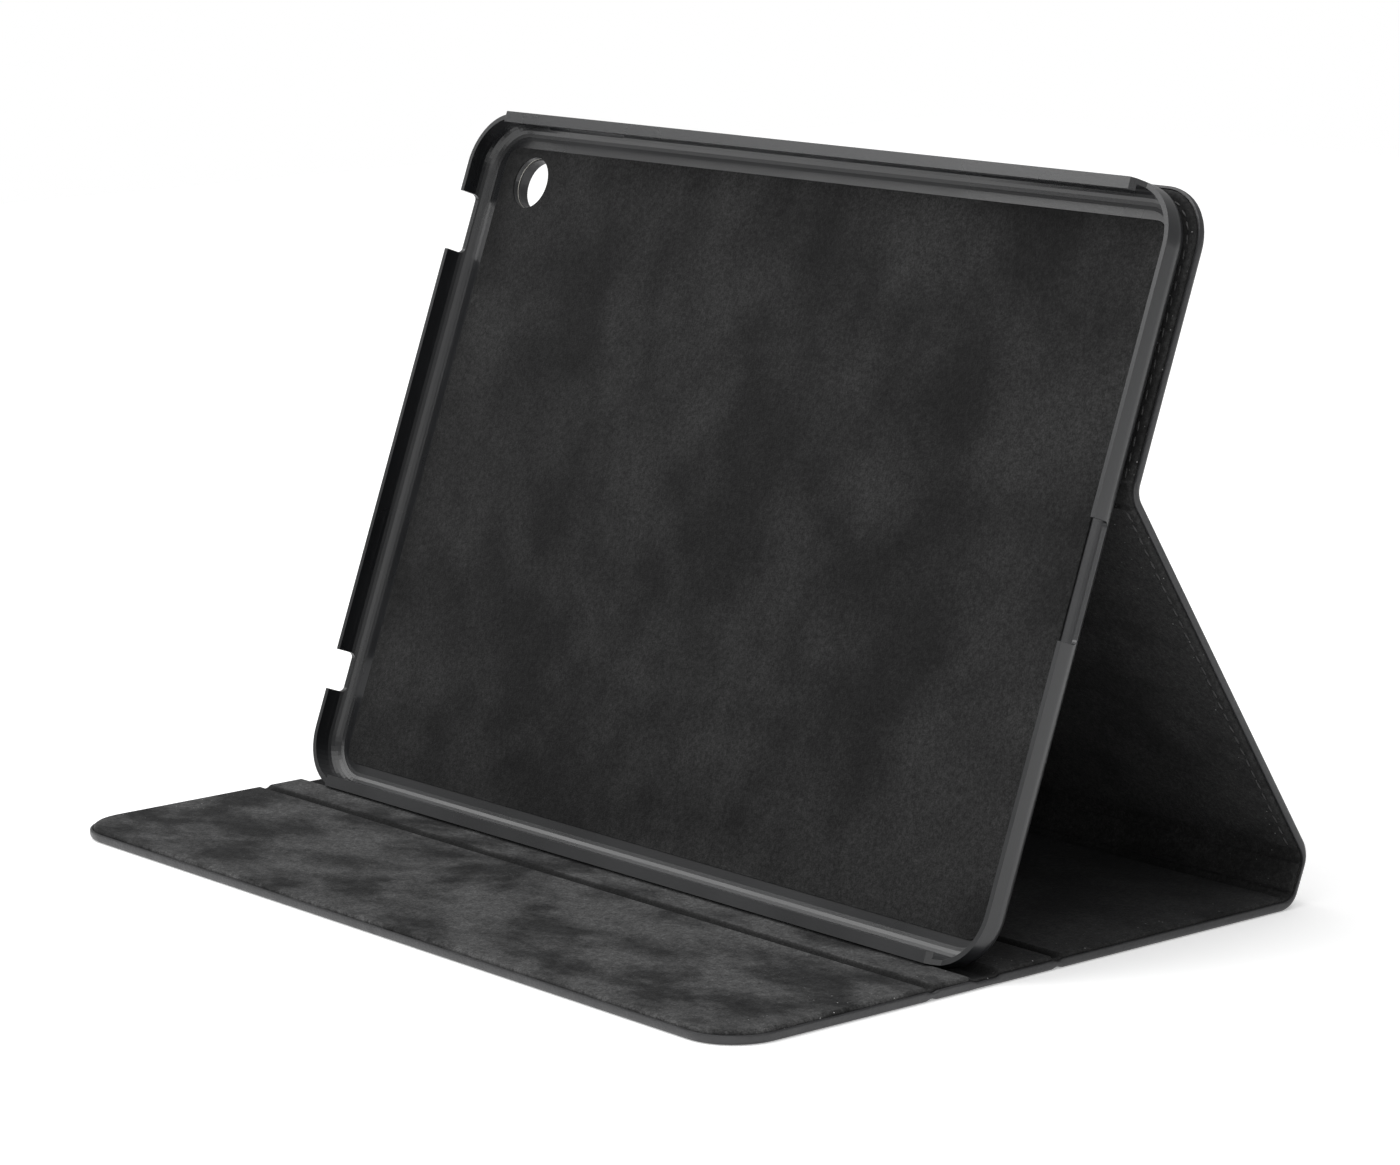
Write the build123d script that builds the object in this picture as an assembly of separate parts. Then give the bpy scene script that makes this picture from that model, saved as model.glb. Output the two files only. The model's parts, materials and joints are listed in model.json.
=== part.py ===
"""Folding tablet case that stands its tablet up, shown standing.

A book-like cover of seven stiff panels is hinged on soft creases. From front to back it runs
along the table as flap, front strip, rear strip and base, turns up round a narrow soft spine,
leans forward as the lower back, and ends in the upper back, which is parallel to the tablet.
A thin moulded shell is bonded to the upper back, holds the tablet by its edges and stands
with its lower long edge in the seat groove between the two strips.

Millimetres. +X is to the right along the tablet's long side, +Y is to the back, +Z is up.
The origin is on the table, at the middle of the footprint.
"""

from build123d import *
import os
from math import cos, radians, sin, sqrt, tan

os.makedirs("parts", exist_ok=True)

# ---- the tablet that the shell is made for ----
tablet_width = 240.0
tablet_height = 169.5
tablet_thickness = 7.5
tablet_corner = 12.0
bay_clearance = 0.3

# ---- the moulded shell ----
shell_wall = 1.2
shell_floor = 1.2
shell_edge_round = 5.0
lip_thickness = 1.0
lip_reach = 1.5
lip_clearance = 0.1
lip_end_inset = 13.0
lip_ramp = 3.0
short_wall_drop = 1.2
pad_thickness = 0.4
pad_border = 7.0
adhesive_thickness = 0.2
adhesive_border = 8.0

# ---- openings in the shell's walls, and the camera hole through shell and upper back ----
port_width = 27.0
port_floor_gap = 1.8
side_button_width = 15.0
side_button_from_top = 26.75
jack_width = 10.0
jack_from_bottom = 26.75
volume_width = 30.0
volume_from_left = 35.0
window_height = 4.6
window_top_drop = 2.0
camera_hole_diameter = 13.0
camera_from_left = 17.0
camera_from_top = 14.0

# ---- the cover: layers of a panel, from the outside in ----
case_side_overhang = 0.5
skin_thickness = 0.8
board_thickness = 1.6
lining_thickness = 0.6
rim_wall = 0.8
rim_drop = 0.6
board_gap = 0.2
lining_gap = 0.3
free_corner_radius = 13.0
spine_board_thickness = 0.8
thread_from_edge = 2.5
thread_width = 0.5
thread_proud = 0.12

# ---- the cover: panels and creases along its length ----
front_strip_length = 9.0
rear_strip_length = 14.5
spine_length = 6.0
groove_width = 3.5
groove_depth = 0.4
spine_bottom_radius = 5.5
spine_top_radius = 6.9
stand_crease_radius = 4.4
stand_crease_height = 23.2
upper_back_overhang = 1.2

# ---- how the case stands ----
tablet_lean = 20.5
spine_slope = 67.8
lower_back_slope = 58.0
foot_seat_gap = 0.3
foot_clearance = 0.4
seat_skin_thickness = 0.6
seat_lining_thickness = 0.5
seat_lift = 0.1

# ---- magnets in the flap ----
magnet_diameter = 8.0
magnet_thickness = 1.0
magnet_from_edge = 9.0
magnet_spacing = 150.0

# ---- how far the flap and the strips fold ----
flap_fold = 100.0
strip_fold = 30.0

# ---- worked-out sizes ----
panel_thickness = skin_thickness + board_thickness + lining_thickness
crease_thickness = skin_thickness + lining_thickness
shell_width = tablet_width + 2 * (bay_clearance + shell_wall)
shell_height = tablet_height + 2 * (bay_clearance + shell_wall)
case_width = shell_width + 2 * case_side_overhang
foot_height = seat_lift + seat_skin_thickness + seat_lining_thickness + foot_seat_gap
floor_z = -tablet_thickness - pad_thickness
shell_back_z = floor_z - shell_floor
lip_top_z = lip_clearance + lip_thickness
panel_outer_z = shell_back_z - adhesive_thickness - panel_thickness
camera_x = -tablet_width / 2 + camera_from_left
camera_y = tablet_height / 2 - camera_from_top
side_button_y = tablet_height / 2 - side_button_from_top
jack_y = -tablet_height / 2 + jack_from_bottom
volume_x = -tablet_width / 2 + volume_from_left

# The slopes of the panels' outer faces, as angles from the table, counted from +Y.
lower_back_angle = 180.0 - lower_back_slope
upper_back_angle = 90.0 - tablet_lean
lean = radians(tablet_lean)
a_spine = radians(spine_slope)
a_lower = radians(lower_back_angle)
a_upper = radians(upper_back_angle)

# The shell stands on its rounded lower back edge. Its height gives the tablet's middle, and
# that gives the height of the stand crease, so the lower back's length closes the tent.
round_up = shell_height / 2 - shell_edge_round
round_back = -shell_back_z - shell_edge_round
tablet_z = foot_height + shell_edge_round + round_up * cos(lean) + round_back * sin(lean)
upper_start_z = tablet_z + stand_crease_height * cos(lean) + panel_outer_z * sin(lean)
spine_rise = spine_bottom_radius * (1 - cos(a_spine)) + spine_length * sin(a_spine)
lower_start_z = spine_rise + spine_top_radius * (cos(a_spine) - cos(a_lower))
crease_rise = stand_crease_radius * (cos(a_upper) - cos(a_lower))
lower_back_length = (upper_start_z - crease_rise - lower_start_z) / sin(a_lower)
upper_back_length = shell_height / 2 + upper_back_overhang - stand_crease_height

# Places along Y, first from the base's rear end.
spine_run = spine_bottom_radius * sin(a_spine) + spine_length * cos(a_spine)
lower_start_y = spine_run + spine_top_radius * (sin(a_lower) - sin(a_spine))
lower_end_y = lower_start_y + lower_back_length * cos(a_lower)
upper_start_y = lower_end_y + stand_crease_radius * (sin(a_lower) - sin(a_upper))
tablet_y = upper_start_y - stand_crease_height * sin(lean) + panel_outer_z * cos(lean)
foot_y = tablet_y - round_up * sin(lean) + round_back * cos(lean)

# The seat groove leaves room for the foot of the shell at the height of the panels' top.
sunk = panel_thickness - foot_height
foot_back_reach = sqrt(2 * shell_edge_round * sunk - sunk**2)
foot_front_reach = shell_edge_round * sin(lean) + (sunk - shell_edge_round * (1 - cos(lean))) / tan(lean)
seat_front_y = foot_y - foot_front_reach - foot_clearance
seat_back_y = foot_y + foot_back_reach + foot_clearance
seat_width = seat_back_y - seat_front_y
rear_strip_end_y = seat_back_y + rear_strip_length
base_start_y = rear_strip_end_y + groove_width
front_strip_start_y = seat_front_y - front_strip_length
flap_end_y = front_strip_start_y - groove_width

# Folded shut, the flap's front edge lies over the upper back's top edge.
front_y = -(lower_back_length + upper_back_length)
flap_length = flap_end_y - front_y
rear_y = spine_run + spine_top_radius * (1 - sin(a_spine))
shift_y = -(front_y + rear_y) / 2


def place(y, z, angle):
    """The place of a panel's frame: +Y along its outer face, +Z from the outer face inwards."""
    return Pos(0, y + shift_y, z) * Rot(angle, 0, 0)


def slab(length, z_low, z_high, side=0.0, start=0.0, end=0.0, start_round=0.0, end_round=0.0):
    """A flat layer of a panel, set in from its sides, start and end, with rounded corners."""
    y_low = start
    y_high = length - end
    size = (case_width - 2 * side, y_high - y_low, z_high - z_low)
    layer = Pos(0, (y_low + y_high) / 2, (z_low + z_high) / 2) * Box(*size)
    for y, radius in ((y_low, start_round), (y_high, end_round)):
        if radius > 0:
            corners = layer.edges().filter_by(Axis.Z).filter_by_position(Axis.Y, y - 0.01, y + 0.01)
            layer = fillet(corners, radius)
    return layer


def panel(length, board=board_thickness, start_round=0.0, end_round=0.0):
    """Skin, board and lining of one panel. A rounded end is free, and its skin is turned up."""
    start_rim = rim_wall if start_round else 0.0
    end_rim = rim_wall if end_round else 0.0
    board_top = skin_thickness + board
    top = board_top + lining_thickness
    rounds = {"start_round": start_round, "end_round": end_round}
    skin = slab(length, 0, top - rim_drop, **rounds)
    pocket_rounds = {key: max(r - rim_wall, 0) for key, r in rounds.items()}
    pocket = slab(length, skin_thickness, top, rim_wall, start_rim, end_rim, **pocket_rounds)
    skin = skin - pocket

    def layer(z_low, z_high, gap, crease_gap):
        inset = rim_wall + gap
        layer_rounds = {key: max(r - inset, 0) for key, r in rounds.items()}
        start = inset if start_round else crease_gap
        end = inset if end_round else crease_gap
        return slab(length, z_low, z_high, inset, start, end, **layer_rounds)

    stiffener = layer(skin_thickness, board_top, board_gap, board_gap)
    lining = layer(board_top, top, lining_gap, 0.0)
    return {"skin": skin, "board": stiffener, "lining": lining}


def stitching(length, end_round=0.0):
    """Stitches along a panel's free edges, as a thin run on the outer face and one on the lining."""
    edge = thread_from_edge
    inner = edge + thread_width
    past = 1.0
    edge_end = edge if end_round else 0.0
    inner_end = inner if end_round else -past
    edge_round = max(end_round - edge, 0)
    inner_round = max(end_round - inner, 0)
    runs = []
    for z_low in (-thread_proud, panel_thickness):
        z_high = z_low + thread_proud
        outside = slab(length, z_low, z_high, edge, 0.0, edge_end, end_round=edge_round)
        inside = slab(length, z_low, z_high, inner, -past, inner_end, end_round=inner_round)
        runs.append(outside - inside)
    return Compound(children=runs)


def flat_strip(length, z_low, z_high, side):
    """One layer of a crease that lies flat."""
    return slab(length, z_low, z_high, side)


def bent_strip(radius_outer, radius_inner, turn, side):
    """One layer of a crease that turns inwards, as a part of a tube along X."""
    half = case_width / 2 - side
    start = (0, radius_outer)
    ring = Circle(radius_outer) - Circle(radius_inner)
    reach = 3 * radius_outer
    far = (reach * sin(radians(turn)), reach * cos(radians(turn)))
    wedge = make_face(Polyline((0, 0), (0, reach), (reach, reach), far, (0, 0)))
    sector = ring & wedge
    section = Plane.YZ * Pos(-start[0], 0) * sector
    return extrude(section, half, both=True)


def inward_crease(radius, turn):
    """Outer and inner layers of a crease that turns towards the inside, from its start."""
    upright = Pos(0, 0, radius) * Rot(180, 0, 0) * Rot(0, 0, 180)
    skin = bent_strip(radius, radius - skin_thickness, turn, 0)
    lining = bent_strip(radius - skin_thickness, radius - crease_thickness, turn, rim_wall)
    return {"skin": upright * skin, "lining": upright * lining}


def outward_crease(radius, turn):
    """Outer and inner layers of a crease that turns away from the inside, from its start."""
    below = Pos(0, 0, -radius)
    skin = bent_strip(radius + skin_thickness, radius, turn, 0)
    lining = bent_strip(radius + crease_thickness, radius + skin_thickness, turn, rim_wall)
    return {"skin": below * skin, "lining": below * lining}


def groove(length, top):
    """Outer and inner layers of a flat crease whose inner face is at the height top."""
    z_middle = top - lining_thickness
    skin = flat_strip(length, z_middle - skin_thickness, z_middle, 0)
    lining = flat_strip(length, z_middle, top, rim_wall)
    return {"skin": skin, "lining": lining}


def seat_groove(length):
    """Outer and inner layers of the wide crease that the shell stands in."""
    z_middle = seat_lift + seat_skin_thickness
    skin = flat_strip(length, seat_lift, z_middle, 0)
    lining = flat_strip(length, z_middle, z_middle + seat_lining_thickness, rim_wall)
    return {"skin": skin, "lining": lining}


def crease_pivot(radius, turn, inward=True):
    """Pivot of a crease from its start, as (along, in), where the skin keeps its length."""
    way = 1 if inward else -1
    depth = skin_thickness / 2
    neutral = radius - way * depth
    half = radians(turn) / 2
    offset = neutral * (tan(half) - half) / sin(half)
    return neutral * half, depth + way * offset * cos(half)


def on_table(start, along, inwards, angle):
    """A point (Y, Z) given along and in from a panel's start, at its slope."""
    a = radians(angle)
    y = start[0] + along * cos(a) - inwards * sin(a) + shift_y
    return y, start[1] + along * sin(a) + inwards * cos(a)


def shell_block(width, height, z_low, z_high, corner):
    """A block about the tablet's middle with rounded upright corners."""
    block = Pos(0, 0, (z_low + z_high) / 2) * Box(width, height, z_high - z_low)
    return fillet(block.edges().filter_by(Axis.Z), corner)


def rounded_back(block, z, radius):
    """The block with the edges of its back face rounded."""
    return fillet(block.edges().filter_by_position(Axis.Z, z - 0.01, z + 0.01), radius)


def short_side_cut(side):
    """What is cut from the front of the shell past one end of its retaining lips."""
    x_lip = side * (shell_width / 2 - lip_end_inset)
    x_low = x_lip + side * lip_ramp
    x_out = side * (shell_width / 2 + 1)
    top = lip_top_z + 1
    low = -short_wall_drop
    corners = [(x_lip, top), (x_lip, lip_top_z), (x_low, low), (x_out, low), (x_out, top)]
    outline = Polyline(*corners, corners[0])
    return extrude(Plane.XZ * make_face(outline), shell_height, both=True)


def wall_window(x, y, along_x, along_y, z_low, z_high):
    """A straight opening through a wall of the shell."""
    return Pos(x, y, (z_low + z_high) / 2) * Box(along_x, along_y, z_high - z_low)


def shell_tray():
    """The tray about the tablet's middle: +Y up along the tablet, +Z towards its screen."""
    corner = tablet_corner + bay_clearance
    outer = shell_block(shell_width, shell_height, shell_back_z, lip_top_z, corner + shell_wall)
    tray = rounded_back(outer, shell_back_z, shell_edge_round)
    bay_width = tablet_width + 2 * bay_clearance
    bay_height = tablet_height + 2 * bay_clearance
    bay = shell_block(bay_width, bay_height, floor_z, lip_clearance, corner)
    tray -= rounded_back(bay, floor_z, shell_edge_round - shell_wall)
    mouth = (bay_width - 2 * lip_reach, bay_height - 2 * lip_reach)
    tray -= shell_block(*mouth, -1.0, lip_top_z + 1, corner - lip_reach)
    for side in (-1, 1):
        tray -= short_side_cut(side)
    wall_x = tablet_width / 2 + bay_clearance + shell_wall / 2
    wall_y = tablet_height / 2 + bay_clearance + shell_wall / 2
    through = 4 * shell_wall
    notch_low = floor_z + port_floor_gap
    tray -= wall_window(wall_x, 0, through, port_width, notch_low, lip_top_z)
    tray -= wall_window(-wall_x, side_button_y, through, side_button_width, notch_low, lip_top_z)
    tray -= wall_window(-wall_x, jack_y, through, jack_width, notch_low, lip_top_z)
    window_top = -window_top_drop
    window_low = window_top - window_height
    tray -= wall_window(volume_x, wall_y, volume_width, through, window_low, window_top)
    return tray - camera_hole(shell_back_z - 1, 0)


def camera_hole(z_low, z_high):
    """The camera hole, about the tablet's middle."""
    middle = (z_low + z_high) / 2
    return Pos(camera_x, camera_y, middle) * Cylinder(camera_hole_diameter / 2, z_high - z_low)


def shell_sheet(border, z_low, z_high, y_low=None):
    """A thin sheet on the shell's floor or back, set in from the shell's outline."""
    width = shell_width - 2 * border
    y_high = shell_height / 2 - border
    y_low = -y_high if y_low is None else y_low
    size = (width, y_high - y_low, z_high - z_low)
    sheet = Pos(0, (y_low + y_high) / 2, (z_low + z_high) / 2) * Box(*size)
    return fillet(sheet.edges().filter_by(Axis.Z), 4.0) - camera_hole(z_low - 1, z_high + 1)


# ---- the slopes and starts of the cover's frames ----
upper_start = (upper_start_y, upper_start_z)
frames = {
    "flap": (front_y, 0.0, 0.0),
    "front_groove": (flap_end_y, 0.0, 0.0),
    "front_strip": (front_strip_start_y, 0.0, 0.0),
    "seat_groove": (seat_front_y, 0.0, 0.0),
    "rear_strip": (seat_back_y, 0.0, 0.0),
    "rear_groove": (rear_strip_end_y, 0.0, 0.0),
    "base": (base_start_y, 0.0, 0.0),
    "spine_bottom_crease": (0.0, 0.0, 0.0),
    "spine": (
        spine_bottom_radius * sin(a_spine),
        spine_bottom_radius * (1 - cos(a_spine)),
        spine_slope,
    ),
    "spine_top_crease": (spine_run, spine_rise, spine_slope),
    "lower_back": (lower_start_y, lower_start_z, lower_back_angle),
    "stand_crease": (
        lower_end_y,
        lower_start_z + lower_back_length * sin(a_lower),
        lower_back_angle,
    ),
    "upper_back": (upper_start_y, upper_start_z, upper_back_angle),
}

# ---- the cover's layers, each in its own frame ----
layers = {
    "flap": panel(flap_length, start_round=free_corner_radius),
    "front_groove": groove(groove_width, panel_thickness - groove_depth),
    "front_strip": panel(front_strip_length),
    "seat_groove": seat_groove(seat_width),
    "rear_strip": panel(rear_strip_length),
    "rear_groove": groove(groove_width, panel_thickness - groove_depth),
    "base": panel(-base_start_y),
    "spine_bottom_crease": inward_crease(spine_bottom_radius, spine_slope),
    "spine": panel(spine_length, board=spine_board_thickness),
    "spine_top_crease": inward_crease(spine_top_radius, lower_back_angle - spine_slope),
    "lower_back": panel(lower_back_length),
    "stand_crease": outward_crease(stand_crease_radius, lower_back_angle - upper_back_angle),
    "upper_back": panel(upper_back_length, end_round=free_corner_radius),
}

# ---- magnets: two discs let into the flap's board, near its front edge ----
magnet_top = skin_thickness + board_thickness
magnet_places = [
    Pos(x, magnet_from_edge, magnet_top - magnet_thickness / 2)
    for x in (-magnet_spacing / 2, magnet_spacing / 2)
]
magnets = [spot * Cylinder(magnet_diameter / 2, magnet_thickness) for spot in magnet_places]
for magnet in magnets:
    layers["flap"]["board"] -= magnet

# ---- the camera hole goes through the upper back as well ----
shell_on_panel = Pos(0, -stand_crease_height, -panel_outer_z)
hole_in_panel = shell_on_panel * camera_hole(panel_outer_z - 1, shell_back_z + 1)
for name, solid in layers["upper_back"].items():
    layers["upper_back"][name] = solid - hole_in_panel

# ---- stitching along the edges of the two panels that carry the tablet ----
layers["lower_back"]["thread"] = stitching(lower_back_length)
layers["upper_back"]["thread"] = stitching(upper_back_length, free_corner_radius)

# ---- the shell and what is bonded to it ----
tablet_place = place(tablet_y, tablet_z, upper_back_angle)
adhesive_low = stand_crease_height + adhesive_border
nodes = {
    "shell_tray": tablet_place * shell_tray(),
    "shell_pad": tablet_place * shell_sheet(pad_border, floor_z, floor_z + pad_thickness),
    "shell_adhesive": tablet_place
    * shell_sheet(adhesive_border, shell_back_z - adhesive_thickness, shell_back_z, adhesive_low),
}
for name, parts_of_panel in layers.items():
    for layer_name, solid in parts_of_panel.items():
        nodes[f"{name}_{layer_name}"] = place(*frames[name]) * solid
nodes["closure_magnets"] = place(*frames["flap"]) * Compound(children=magnets)

# ---- joint pivots, in (Y, Z) ----
strip_depth = panel_thickness - groove_depth - crease_thickness / 2
seat_depth = seat_lift + seat_skin_thickness
pivots = {
    "flap_fold": on_table((flap_end_y, 0), groove_width / 2, strip_depth, 0),
    "front_strip_fold": on_table((seat_front_y, 0), seat_width / 2, seat_depth, 0),
    "rear_strip_fold": on_table((rear_strip_end_y, 0), groove_width / 2, strip_depth, 0),
    "spine_bottom_fold": on_table((0, 0), *crease_pivot(spine_bottom_radius, spine_slope), 0),
    "spine_top_fold": on_table(
        (spine_run, spine_rise),
        *crease_pivot(spine_top_radius, lower_back_angle - spine_slope),
        spine_slope,
    ),
    "stand_crease_fold": on_table(
        frames["stand_crease"][:2],
        *crease_pivot(stand_crease_radius, lower_back_angle - upper_back_angle, inward=False),
        lower_back_angle,
    ),
}

for name, solid in nodes.items():
    export_step(solid, f"parts/{name}.step")

print(f"flap {flap_length:.2f}, base {-base_start_y:.2f}, seat groove {seat_width:.2f}")
print(f"lower back {lower_back_length:.2f}, upper back {upper_back_length:.2f}")
for name, (y, z) in pivots.items():
    print(f"{name}: y {y:.4f}, z {z:.4f}")
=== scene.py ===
import json
import random
from math import cos, pi, radians, sin

import bmesh
import bpy
from mathutils import Matrix, Vector


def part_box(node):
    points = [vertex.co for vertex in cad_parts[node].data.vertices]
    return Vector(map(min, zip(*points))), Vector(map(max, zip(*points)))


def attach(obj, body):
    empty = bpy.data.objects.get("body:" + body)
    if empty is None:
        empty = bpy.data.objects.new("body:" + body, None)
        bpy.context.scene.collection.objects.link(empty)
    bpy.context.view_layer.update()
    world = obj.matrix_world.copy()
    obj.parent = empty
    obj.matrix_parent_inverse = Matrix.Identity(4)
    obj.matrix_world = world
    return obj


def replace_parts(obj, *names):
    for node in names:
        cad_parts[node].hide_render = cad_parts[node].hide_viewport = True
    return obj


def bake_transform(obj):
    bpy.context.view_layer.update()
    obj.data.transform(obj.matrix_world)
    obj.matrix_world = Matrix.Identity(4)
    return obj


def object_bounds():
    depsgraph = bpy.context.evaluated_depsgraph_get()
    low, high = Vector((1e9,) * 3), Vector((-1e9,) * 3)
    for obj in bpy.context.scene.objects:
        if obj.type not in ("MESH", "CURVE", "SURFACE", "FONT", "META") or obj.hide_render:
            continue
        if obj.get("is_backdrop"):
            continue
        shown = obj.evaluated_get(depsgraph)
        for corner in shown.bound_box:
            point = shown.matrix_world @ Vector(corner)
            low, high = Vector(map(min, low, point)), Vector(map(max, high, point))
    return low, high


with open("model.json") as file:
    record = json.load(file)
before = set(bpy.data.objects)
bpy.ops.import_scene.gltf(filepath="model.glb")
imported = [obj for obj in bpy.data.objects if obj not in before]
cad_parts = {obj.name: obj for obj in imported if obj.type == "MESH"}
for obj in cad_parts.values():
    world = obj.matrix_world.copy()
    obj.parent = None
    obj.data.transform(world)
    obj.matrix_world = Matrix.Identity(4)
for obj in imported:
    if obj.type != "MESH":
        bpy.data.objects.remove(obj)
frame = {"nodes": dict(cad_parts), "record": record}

cad_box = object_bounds()
scene = bpy.context.scene
MM = 0.001

# ---- the cover's layers, from the outside in ----
SKIN = 0.8 * MM
PANEL = 3.0 * MM
SPINE_PANEL = 2.2 * MM
CAD_RIM_DROP = 0.6 * MM
RIM_DROP = 0.9 * MM
RIM_WALL = 0.6 * MM
FREE_CORNER = 13.0 * MM
SKIN_ROUND = 1.1 * MM
RIM_ROUND = 0.3 * MM
LINING_INSET = 0.85 * MM
LINING_DEPTH = 1.15 * MM
LINING_ROUND = 0.85 * MM
TURN_IN = 6.5 * MM
TURN_IN_STEP = 0.1 * MM
TURN_IN_SLOPE = 1.2 * MM
POCKET_SLOPE = 0.05 * MM
CORNER_SEGMENTS = 14
LINT_CELLS = 520.0
LINT_BAND = 16.0 * MM

# ---- the stitching ----
THREAD_FROM_EDGE = 2.75 * MM
STITCH_PITCH = 3.4 * MM
STITCH_LENGTH = 2.3 * MM
STITCH_WIDTH = 0.42 * MM
STITCH_SLANT = radians(7)
CHANNEL_WIDTH = 1.1 * MM
CHANNEL_DEPTH = 0.12 * MM
CHANNEL_MARGIN = 0.1 * MM
CHANNEL_SIDE = 0.4
CHANNEL_BOTTOM = 0.2

# ---- the shell, and where the tablet's middle is in the upper back's frame ----
STAND_CREASE_HEIGHT = 23.2 * MM
GLASS_DEPTH = 12.3 * MM
TABLET = Vector((240.0, 169.5, 7.5)) * MM
TABLET_CORNER = 12.0 * MM
BAY_CLEARANCE = 0.3 * MM
SHELL_WALL = 1.2 * MM
SHELL_ROUND = 5.0 * MM
PAD = 0.4 * MM
LIP = 1.0 * MM
LIP_CLEARANCE = 0.1 * MM
LIP_REACH = 1.5 * MM
LIP_END_INSET = 13.0 * MM
LIP_RAMP = 3.0 * MM
SHORT_WALL_DROP = 1.2 * MM
CAMERA_AT = Vector((-103.0, 70.75, 0.0)) * MM
CAMERA_RADIUS = 6.5 * MM
PAD_BORDER = 7.0 * MM
PAD_CORNER = 4.0 * MM
PAD_ROUND = 0.25 * MM
PORT_WIDTH = 27.0 * MM
SIDE_BUTTON_AT = 58.0 * MM
SIDE_BUTTON_WIDTH = 15.0 * MM
JACK_AT = -58.0 * MM
JACK_WIDTH = 10.0 * MM
VOLUME_AT = -85.0 * MM
VOLUME_WIDTH = 30.0 * MM
VOLUME_HEIGHTS = (-6.6 * MM, -2.0 * MM)
NOTCH_FROM_FLOOR = 1.8 * MM

# ---- slopes of the panels' outer faces from the table, counted from +Y ----
SLOPES = {"spine": 67.8, "lower_back": 122.0, "upper_back": 69.5}
SEAT_SKIN = (0.1 * MM, 0.7 * MM)
SEAT_LINING_TOP = 1.2 * MM


# ======================= materials =======================

def node_material(name):
    """A new material, with its node tree and its shader."""
    material = bpy.data.materials.new(name)
    material.use_nodes = True
    tree = material.node_tree
    return material, tree, tree.nodes["Principled BSDF"]


def add(tree, kind, **values):
    """A node with its properties and unlinked inputs set."""
    node = tree.nodes.new(kind)
    for key, value in values.items():
        if key in node.inputs:
            node.inputs[key].default_value = value
        else:
            setattr(node, key, value)
    return node


def object_coordinates(tree, stretch=(1, 1, 1)):
    """Object coordinates, stretched along the axes."""
    where = add(tree, "ShaderNodeTexCoord")
    mapping = add(tree, "ShaderNodeMapping", Scale=stretch)
    tree.links.new(where.outputs["Object"], mapping.inputs["Vector"])
    return mapping.outputs["Vector"]


def noise(tree, where, scale, detail=3.0, roughness=0.55):
    """A noise pattern with so many waves to the metre."""
    node = add(tree, "ShaderNodeTexNoise", Scale=scale, Detail=detail, Roughness=roughness)
    tree.links.new(where, node.inputs["Vector"])
    return node.outputs["Fac"]


def ramp(tree, value, stops):
    """Colours by value: stops are (position, grey or colour)."""
    node = add(tree, "ShaderNodeValToRGB")
    elements = node.color_ramp.elements
    while len(elements) < len(stops):
        elements.new(0.5)
    for element, (position, colour) in zip(elements, stops):
        element.position = position
        rgb = (colour,) * 3 if isinstance(colour, float) else colour
        element.color = (*rgb, 1.0)
    tree.links.new(value, node.inputs["Fac"])
    return node.outputs["Color"]


def mix(tree, kind, a, b, factor=1.0):
    """Two colours mixed. The factor may be a number or another node's output."""
    node = add(tree, "ShaderNodeMix", data_type="RGBA", blend_type=kind)
    tree.links.new(a, node.inputs[6])
    tree.links.new(b, node.inputs[7])
    if isinstance(factor, float):
        node.inputs[0].default_value = factor
    else:
        tree.links.new(factor, node.inputs[0])
    return node.outputs[2]


def bump(tree, shader, height, distance, strength=1.0, below=None):
    """Surface relief from a height pattern, in metres."""
    node = add(tree, "ShaderNodeBump", Strength=strength, Distance=distance)
    tree.links.new(height, node.inputs["Height"])
    if below is not None:
        tree.links.new(below, node.inputs["Normal"])
    tree.links.new(node.outputs["Normal"], shader.inputs["Normal"])
    return node.outputs["Normal"]


def cover_leather():
    """Black coated leather: a fine pebble grain, soft creasing and a low sheen."""
    material, tree, shader = node_material("cover_leather")
    where = object_coordinates(tree)
    cells = add(tree, "ShaderNodeTexVoronoi", feature="SMOOTH_F1", Scale=1500.0, Smoothness=0.6)
    tree.links.new(where, cells.inputs["Vector"])
    creasing = noise(tree, where, 320.0, detail=5.0)
    broad = noise(tree, where, 22.0, detail=4.0)
    tint = ramp(tree, broad, [(0.3, (0.016, 0.016, 0.0172)), (0.75, (0.026, 0.026, 0.0278))])
    tree.links.new(tint, shader.inputs["Base Color"])
    gloss = ramp(tree, creasing, [(0.3, 0.36), (0.7, 0.5)])
    tree.links.new(gloss, shader.inputs["Roughness"])
    shader.inputs["Specular IOR Level"].default_value = 0.55
    grain = bump(tree, shader, cells.outputs["Distance"], 0.00009, 0.55)
    bump(tree, shader, creasing, 0.00014, 0.35, below=grain)
    return material


def lint_by_the_sides(tree, amount):
    """Pale fluff in some cells of a fine pattern, most of it near the cover's sides."""
    specks = add(tree, "ShaderNodeTexVoronoi", feature="F1", Scale=LINT_CELLS)
    tree.links.new(object_coordinates(tree, (1.0, 1.6, 1.6)), specks.inputs["Vector"])
    spots = ramp(tree, specks.outputs["Distance"], [(0.0, 1.0), (0.13, 0.0)])
    chosen = ramp(tree, specks.outputs["Color"], [(0.60, 0.0), (0.74, amount)])
    split = add(tree, "ShaderNodeSeparateXYZ")
    tree.links.new(object_coordinates(tree), split.inputs["Vector"])
    from_middle = add(tree, "ShaderNodeMath", operation="ABSOLUTE")
    tree.links.new(split.outputs["X"], from_middle.inputs[0])
    side = add(tree, "ShaderNodeMapRange", interpolation_type="SMOOTHSTEP")
    tree.links.new(from_middle.outputs["Value"], side.inputs["Value"])
    side.inputs["From Min"].default_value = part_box("base_skin")[1].x - LINT_BAND
    side.inputs["From Max"].default_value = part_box("base_skin")[1].x
    side.inputs["To Min"].default_value = 0.12
    gathered = mix(tree, "MULTIPLY", spots, side.outputs["Result"])
    return mix(tree, "MULTIPLY", gathered, chosen)


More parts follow.
